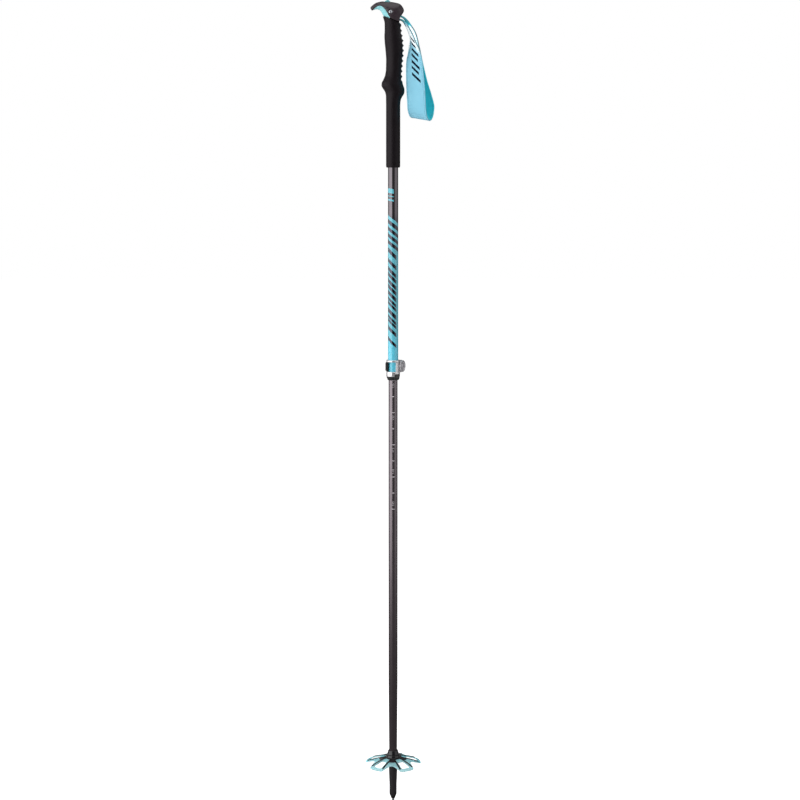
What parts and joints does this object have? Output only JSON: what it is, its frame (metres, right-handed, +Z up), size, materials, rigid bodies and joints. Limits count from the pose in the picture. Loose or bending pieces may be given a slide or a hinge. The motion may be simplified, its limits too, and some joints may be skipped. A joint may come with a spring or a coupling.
{
  "type": "ski pole",
  "caption": "Two-section telescopic ski touring pole with hooked head, scalloped foam grip, wrist strap, lever length clamp, petal snow basket and carbide tip.",
  "frame": {"origin": "centre of the ground face of the carbide point, on the shaft's axis", "axes": "+Z up along the shaft, +X towards the strap at the back of the handle, -X the way the head's beak points"},
  "size_m": [0.1077, 0.0842, 1.2492],
  "materials": {
    "upper_paint": "gloss black lacquer with sky-cyan pattern",
    "foam": "fine closed-cell foam, matt",
    "head_black": "satin, fine grain",
    "cyan_rubber": "soft satin",
    "inner_plastic": "moulded",
    "steel": "zinc plated",
    "webbing": "woven polyester",
    "polished_aluminium": "forged and polished",
    "satin_aluminium": "knurled, satin",
    "black_plastic": "semi-gloss",
    "anthracite_alloy": "satin anthracite anodised",
    "tip_plastic": "satin",
    "dark_steel": "blackened",
    "carbide": "sintered carbide",
    "gloss_black": "gloss",
    "cyan_clear": "translucent, slightly frosted"
  },
  "bodies": {
    "upper": {"upper_tube": "upper_paint", "grip_foam": "foam", "grip_head": "head_black", "head_inlay": "cyan_rubber", "crest_insert": "cyan_rubber", "tube_plug": "inner_plastic", "strap_wedge": "inner_plastic", "strap_bolt": "steel", "strap_nut": "steel", "strap_tail": "webbing", "clamp_collar": "black_plastic", "clamp_band": "polished_aluminium", "cam_washer": "steel", "knob_washer": "steel"},
    "strap": {"strap_loop": "webbing"},
    "adjuster": {"clamp_screw": "steel", "adjuster_knob": "satin_aluminium"},
    "barrel": {"pivot_barrel": "steel"},
    "lever": {"clamp_lever": "black_plastic"},
    "glide": {"glide_ring": "inner_plastic"},
    "lower": {"lower_shaft": "anthracite_alloy", "shaft_plug": "inner_plastic", "tip_body": "tip_plastic", "tip_ferrule": "dark_steel", "carbide_point": "carbide"},
    "basket": {"basket_frame": "gloss_black", "basket_web": "cyan_clear"}
  },
  "joints": [
    {"name": "length_slide", "type": "slide", "parent": "upper", "child": "glide", "axis": [0, 0, -1], "range_m": [-0.2, 0.2]},
    {"name": "shaft_spin", "type": "hinge", "parent": "glide", "child": "lower", "pos_m": [0, 0, 0.93], "axis": [0, 0, 1], "continuous": true},
    {"name": "basket_turn", "type": "hinge", "parent": "lower", "child": "basket", "pos_m": [0, 0, 0.07], "axis": [0, 0, 1], "range_deg": [0, 90]},
    {"name": "adjuster_turn", "type": "hinge", "parent": "upper", "child": "adjuster", "pos_m": [0.00517, 0.01061, 0.677], "axis": [0.8988, -0.4384, 0], "range_deg": [0, 720]},
    {"name": "barrel_slide", "type": "slide", "parent": "upper", "child": "barrel", "axis": [-0.8988, 0.4384, 0], "range_m": [0, 0.0014]},
    {"name": "lever_swing", "type": "hinge", "parent": "barrel", "child": "lever", "pos_m": [-0.00588, 0.016, 0.677], "axis": [0, 0, -1], "range_deg": [0, 120]},
    {"name": "strap_swing", "type": "hinge", "parent": "upper", "child": "strap", "pos_m": [0.0125, 0, 1.2185], "axis": [0, -1, 0], "range_deg": [0, 40]}
  ],
  "couplings": [
    {"joint": "adjuster_turn", "follows": "barrel_slide", "rad_per_m": 8975.9}
  ]
}
